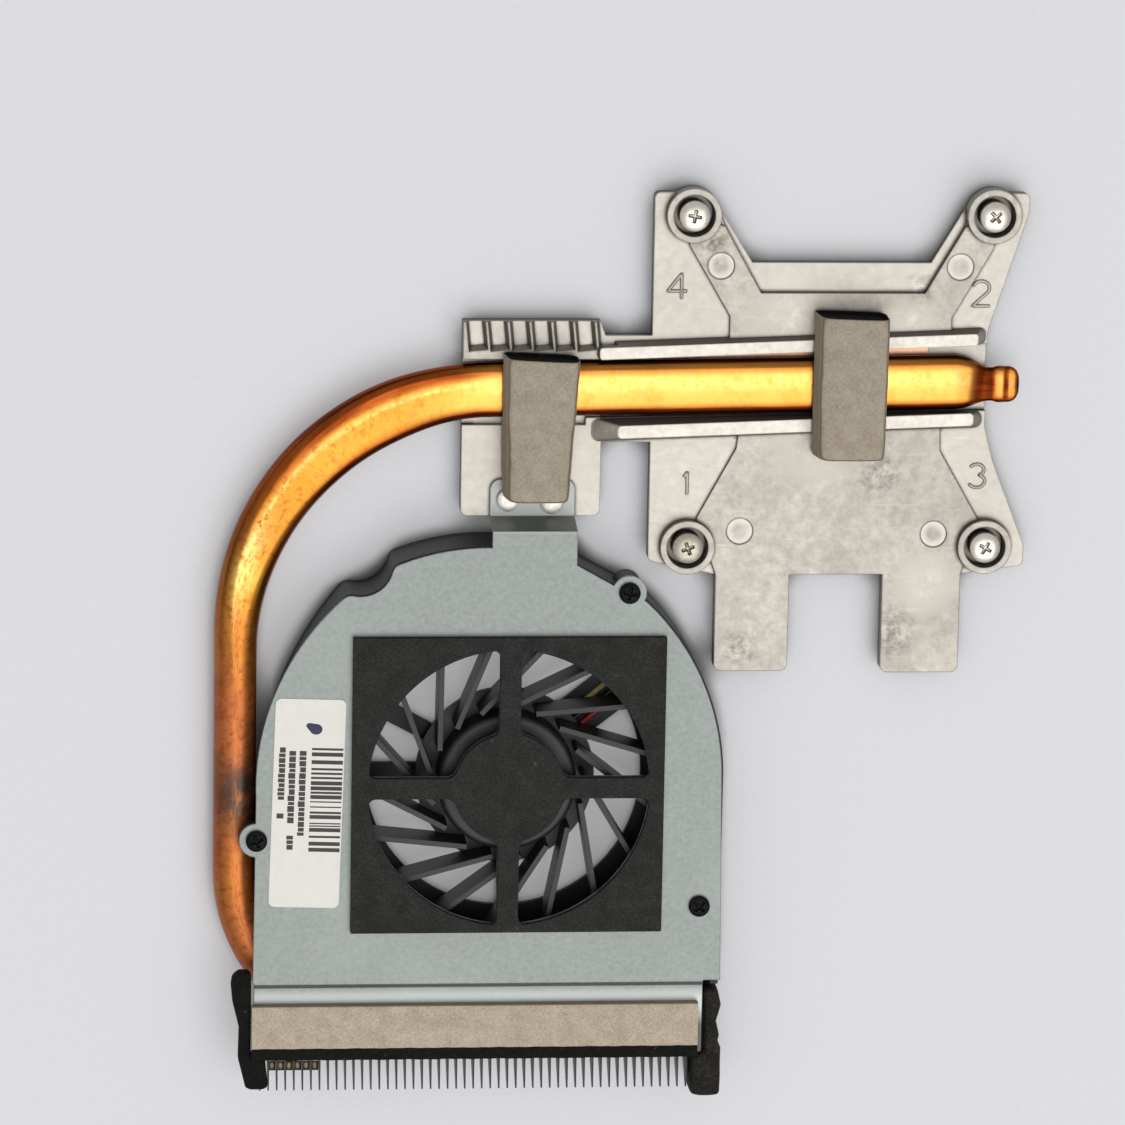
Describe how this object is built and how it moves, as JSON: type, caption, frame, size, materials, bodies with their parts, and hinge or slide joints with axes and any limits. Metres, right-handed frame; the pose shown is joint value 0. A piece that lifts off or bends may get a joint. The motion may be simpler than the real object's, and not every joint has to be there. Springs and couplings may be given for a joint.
{
  "type": "laptop cooling fan heatsink",
  "caption": "Laptop cooler with a blower fan, a bent copper heat pipe, a fin stack and a die-cast aluminium plate held down by spring screws.",
  "frame": {"origin": "centre of the copper face that meets the processor, on the plane the part rests on", "axes": "+X runs along the straight part of the heat pipe toward its crimped tip, +Y from the fin stack toward the plate, +Z from the contact face up to the fan cover"},
  "size_m": [0.1225, 0.139, 0.0125],
  "materials": {
    "cast_aluminium": null,
    "base_copper": null,
    "pipe_copper": null,
    "black_foam": null,
    "grey_fabric": null,
    "nickel_steel": null,
    "spring_steel": null,
    "galvanised_steel": null,
    "black_pad": null,
    "black_plastic": null,
    "black_steel": null,
    "impeller_plastic": null,
    "ferrite": null,
    "bearing_bronze": null,
    "coil_copper": null,
    "board_green": null,
    "lead_insulation": null,
    "fin_aluminium": null,
    "beige_fabric": null,
    "label_paper": null
  },
  "bodies": {
    "frame": {"cast_plate": "cast_aluminium", "copper_base_plate": "base_copper", "heat_pipe": "pipe_copper", "left_strip_foam": "black_foam", "left_strip_fabric": "grey_fabric", "right_strip_foam": "black_foam", "right_strip_fabric": "grey_fabric", "screw_spring_1": "spring_steel", "screw_spring_2": "spring_steel", "screw_spring_3": "spring_steel", "screw_spring_4": "spring_steel", "fan_cover": "galvanised_steel", "intake_pad": "black_pad", "fan_housing": "black_plastic", "cover_screws": "black_steel", "bearing_sleeve": "bearing_bronze", "stator_core": "spring_steel", "stator_coils": "coil_copper", "motor_board": "board_green", "motor_leads": "lead_insulation", "fin_stack": "fin_aluminium", "outlet_gasket_foam": "black_foam", "outlet_gasket_fabric": "beige_fabric", "left_end_foam": "black_foam", "right_end_foam": "black_foam", "label": "label_paper"},
    "rotor": {"impeller": "impeller_plastic", "rotor_yoke": "spring_steel", "rotor_magnet": "ferrite", "rotor_shaft": "spring_steel"},
    "screw_1": {"mount_screw_1": "nickel_steel", "retaining_clip_1": "spring_steel"},
    "screw_2": {"mount_screw_2": "nickel_steel", "retaining_clip_2": "spring_steel"},
    "screw_3": {"mount_screw_3": "nickel_steel", "retaining_clip_3": "spring_steel"},
    "screw_4": {"mount_screw_4": "nickel_steel", "retaining_clip_4": "spring_steel"}
  },
  "joints": [
    {"name": "fan_spin", "type": "hinge", "parent": "frame", "child": "rotor", "pos_m": [-0.0494, -0.0609, 0.005], "axis": [0, 0, 1], "continuous": true},
    {"name": "screw_1_press", "type": "slide", "parent": "frame", "child": "screw_1", "axis": [0, 0, 1], "range_m": [-0.0014, 0], "stiffness_N_per_m": 2000, "springref_m": 0.001, "deforming": ["screw_spring_1"]},
    {"name": "screw_2_press", "type": "slide", "parent": "frame", "child": "screw_2", "axis": [0, 0, 1], "range_m": [-0.0014, 0], "stiffness_N_per_m": 2000, "springref_m": 0.001, "deforming": ["screw_spring_2"]},
    {"name": "screw_3_press", "type": "slide", "parent": "frame", "child": "screw_3", "axis": [0, 0, 1], "range_m": [-0.0014, 0], "stiffness_N_per_m": 2000, "springref_m": 0.001, "deforming": ["screw_spring_3"]},
    {"name": "screw_4_press", "type": "slide", "parent": "frame", "child": "screw_4", "axis": [0, 0, 1], "range_m": [-0.0014, 0], "stiffness_N_per_m": 2000, "springref_m": 0.001, "deforming": ["screw_spring_4"]}
  ]
}
